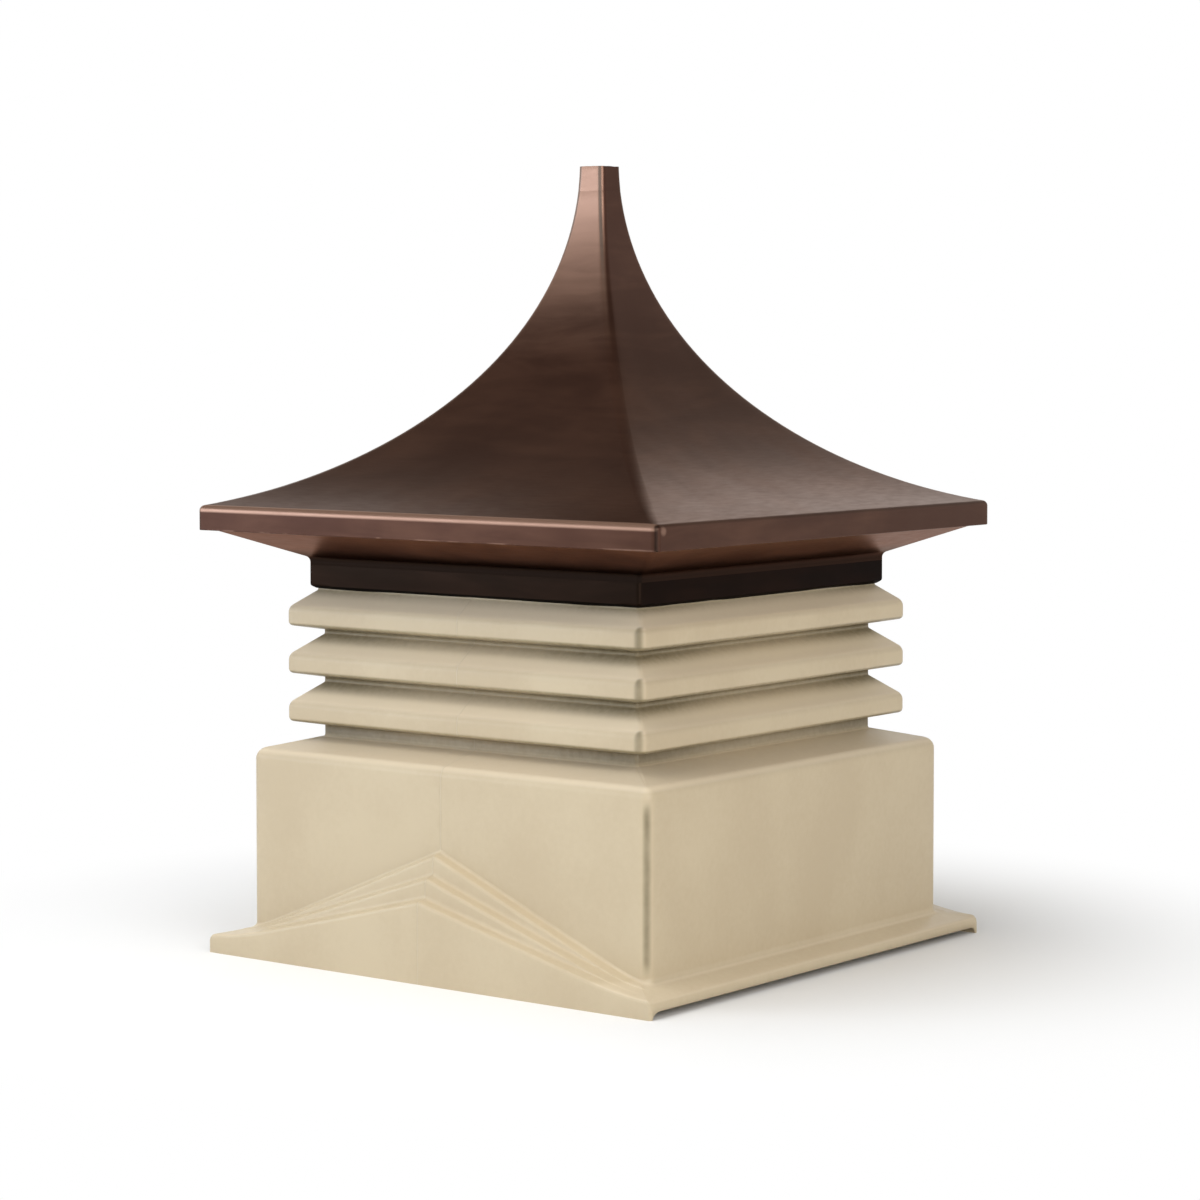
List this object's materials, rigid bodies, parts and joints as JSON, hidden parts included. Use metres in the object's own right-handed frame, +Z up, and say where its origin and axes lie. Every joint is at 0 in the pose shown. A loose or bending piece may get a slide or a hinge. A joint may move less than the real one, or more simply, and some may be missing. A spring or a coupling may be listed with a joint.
{
  "type": "barn cupola",
  "caption": "Square roof-ridge cupola with a moulded louvred body, stepped gable skirts and a flared copper pagoda roof ending in a finial socket.",
  "frame": {"origin": "centre of the footprint on the floor plane, at the bottom edge of the gable skirts", "axes": "+Z up; the gable skirts face -Y (front) and +Y (back); the eave flanges face -X (left) and +X (right)"},
  "size_m": [0.7028, 0.7028, 0.967],
  "materials": {
    "copper_roof": "dark oiled patina on brushed copper sheet",
    "moulded_body": "satin beige moulded polyethylene"
  },
  "bodies": {
    "root": {"finial_socket": "copper_roof", "roof_panel_front": "copper_roof", "roof_panel_right": "copper_roof", "roof_panel_back": "copper_roof", "roof_panel_left": "copper_roof", "soffit_front": "copper_roof", "soffit_right": "copper_roof", "soffit_back": "copper_roof", "soffit_left": "copper_roof", "collar_front": "copper_roof", "collar_right": "copper_roof", "collar_back": "copper_roof", "collar_left": "copper_roof", "louvre_top_front": "moulded_body", "louvre_top_right": "moulded_body", "louvre_top_back": "moulded_body", "louvre_top_left": "moulded_body", "louvre_middle_front": "moulded_body", "louvre_middle_right": "moulded_body", "louvre_middle_back": "moulded_body", "louvre_middle_left": "moulded_body", "louvre_bottom_front": "moulded_body", "louvre_bottom_right": "moulded_body", "louvre_bottom_back": "moulded_body", "louvre_bottom_left": "moulded_body", "shoulder_front": "moulded_body", "shoulder_right": "moulded_body", "shoulder_back": "moulded_body", "shoulder_left": "moulded_body", "base_wall_front": "moulded_body", "base_wall_right": "moulded_body", "base_wall_back": "moulded_body", "base_wall_left": "moulded_body", "pitch_step_5_in_12_front": "moulded_body", "pitch_step_5_in_12_back": "moulded_body", "pitch_step_4_in_12_front": "moulded_body", "pitch_step_4_in_12_back": "moulded_body", "pitch_step_3_in_12_front": "moulded_body", "pitch_step_3_in_12_back": "moulded_body", "eave_flange_left": "moulded_body", "eave_flange_right": "moulded_body"}
  },
  "joints": []
}
